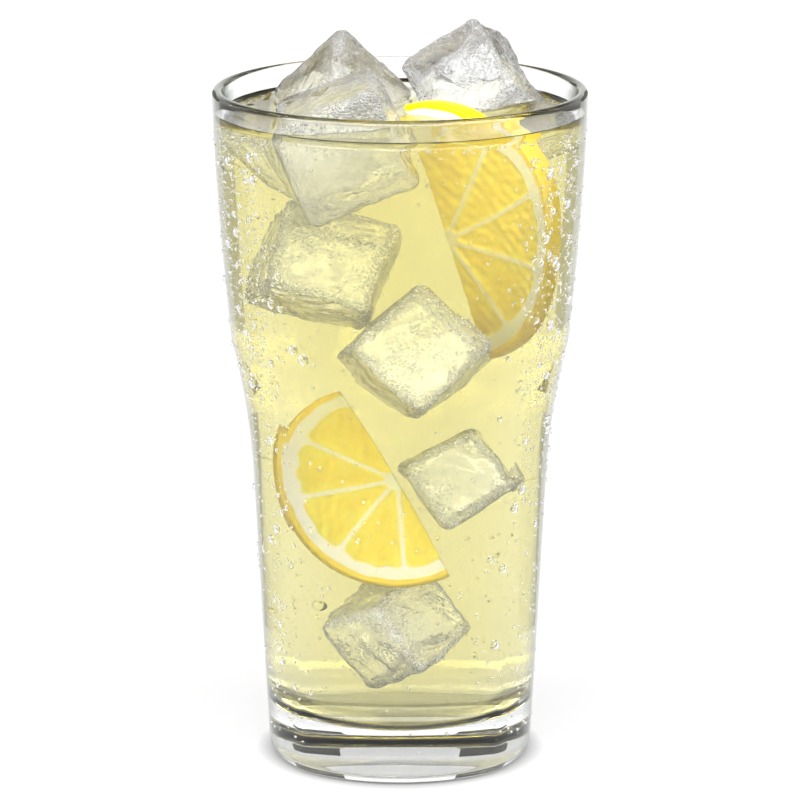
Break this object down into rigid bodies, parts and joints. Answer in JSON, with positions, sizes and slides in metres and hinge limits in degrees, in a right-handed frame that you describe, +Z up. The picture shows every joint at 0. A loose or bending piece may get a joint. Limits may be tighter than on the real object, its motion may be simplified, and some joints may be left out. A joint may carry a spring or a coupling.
{
  "type": "glass of lemonade",
  "caption": "Tall tumbler with arched side panels, filled with cloudy iced lemonade and a slice of lemon that rises past the ice at the rim.",
  "frame": {"origin": "centre of the foot, on the surface the glass stands on", "axes": "+Z up along the glass's axis; the panels face +X, -X, +Y and -Y"},
  "size_m": [0.0862, 0.0862, 0.1725],
  "materials": {
    "clear_glass": "clear, gloss",
    "lemonade": "cloudy liquid, gloss surface",
    "ice": "wet ice with frosted edges",
    "lemon": "waxy rind, wet flesh"
  },
  "bodies": {
    "root": {"glass": "clear_glass", "lemonade": "lemonade", "ice_back_left": "ice", "ice_front_left": "ice", "ice_right": "ice", "lemon_slice": "lemon"}
  },
  "joints": []
}
